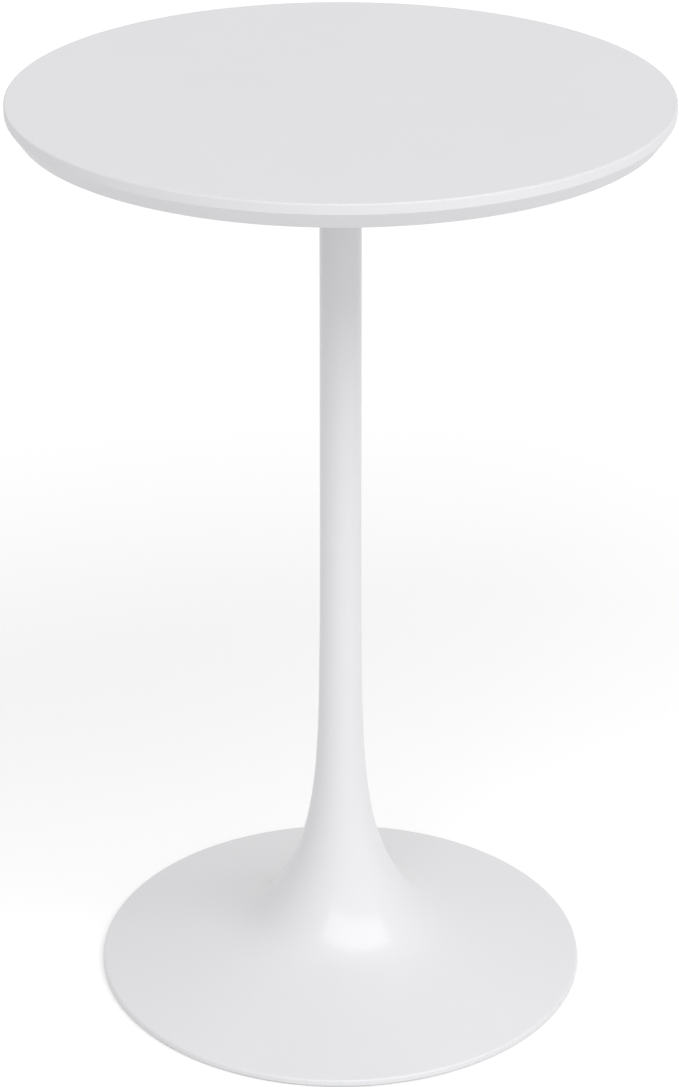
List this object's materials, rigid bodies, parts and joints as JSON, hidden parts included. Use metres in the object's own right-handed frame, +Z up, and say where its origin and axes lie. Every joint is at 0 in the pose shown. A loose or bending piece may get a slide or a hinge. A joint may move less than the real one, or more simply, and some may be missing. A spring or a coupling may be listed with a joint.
{
  "type": "bar table",
  "caption": "Round white bar table: bevelled board on a one-piece trumpet pedestal, drawn together by a tie rod over an iron ballast with levelling glides.",
  "frame": {"origin": "on the floor under the middle of the column", "axes": "+Z up along the column; -Y towards the viewer of the picture, +X to the viewer's right"},
  "size_m": [0.6999, 0.7, 1.05],
  "materials": {
    "top_lacquer": "white satin lacquer on fibreboard",
    "shell_paint": "white semi-gloss powder coat",
    "black_steel": "black matt coated steel",
    "zinc": "bright zinc plate",
    "brass": "turned",
    "cast_iron": "black primed, as cast",
    "rubber": "matt",
    "nylon": "moulded, fine grain"
  },
  "bodies": {
    "table": {"table_top": "top_lacquer", "top_inserts": "brass", "top_plate": "black_steel", "plate_socket": "black_steel", "plate_screws": "zinc", "plate_washers": "zinc", "tie_rod": "zinc", "top_washer": "zinc", "top_nut": "zinc", "pedestal_shell": "shell_paint", "seat_gasket": "rubber", "ballast_casting": "cast_iron", "base_washer": "zinc", "spring_washer": "black_steel", "base_nut": "zinc"},
    "pad_body_front_left": {"pad_front_left": "nylon"},
    "stem_body_front_left": {"stem_front_left": "zinc"},
    "pad_body_front_right": {"pad_front_right": "nylon"},
    "stem_body_front_right": {"stem_front_right": "zinc"},
    "pad_body_back_right": {"pad_back_right": "nylon"},
    "stem_body_back_right": {"stem_back_right": "zinc"},
    "pad_body_back_left": {"pad_back_left": "nylon"},
    "stem_body_back_left": {"stem_back_left": "zinc"}
  },
  "joints": [
    {"name": "raise_front_left", "type": "slide", "parent": "table", "child": "pad_body_front_left", "axis": [0, 0, -1], "range_m": [0, 0.00625]},
    {"name": "turn_front_left", "type": "hinge", "parent": "pad_body_front_left", "child": "stem_body_front_left", "pos_m": [-0.15132, -0.15132, 0.004], "axis": [0, 0, -1], "range_deg": [0, 1800]},
    {"name": "raise_front_right", "type": "slide", "parent": "table", "child": "pad_body_front_right", "axis": [0, 0, -1], "range_m": [0, 0.00625]},
    {"name": "turn_front_right", "type": "hinge", "parent": "pad_body_front_right", "child": "stem_body_front_right", "pos_m": [0.15132, -0.15132, 0.004], "axis": [0, 0, -1], "range_deg": [0, 1800]},
    {"name": "raise_back_right", "type": "slide", "parent": "table", "child": "pad_body_back_right", "axis": [0, 0, -1], "range_m": [0, 0.00625]},
    {"name": "turn_back_right", "type": "hinge", "parent": "pad_body_back_right", "child": "stem_body_back_right", "pos_m": [0.15132, 0.15132, 0.004], "axis": [0, 0, -1], "range_deg": [0, 1800]},
    {"name": "raise_back_left", "type": "slide", "parent": "table", "child": "pad_body_back_left", "axis": [0, 0, -1], "range_m": [0, 0.00625]},
    {"name": "turn_back_left", "type": "hinge", "parent": "pad_body_back_left", "child": "stem_body_back_left", "pos_m": [-0.15132, 0.15132, 0.004], "axis": [0, 0, -1], "range_deg": [0, 1800]}
  ],
  "couplings": [
    {"joint": "turn_front_left", "follows": "raise_front_left", "rad_per_m": 5026.5},
    {"joint": "turn_front_right", "follows": "raise_front_right", "rad_per_m": 5026.5},
    {"joint": "turn_back_right", "follows": "raise_back_right", "rad_per_m": 5026.5},
    {"joint": "turn_back_left", "follows": "raise_back_left", "rad_per_m": 5026.5}
  ]
}
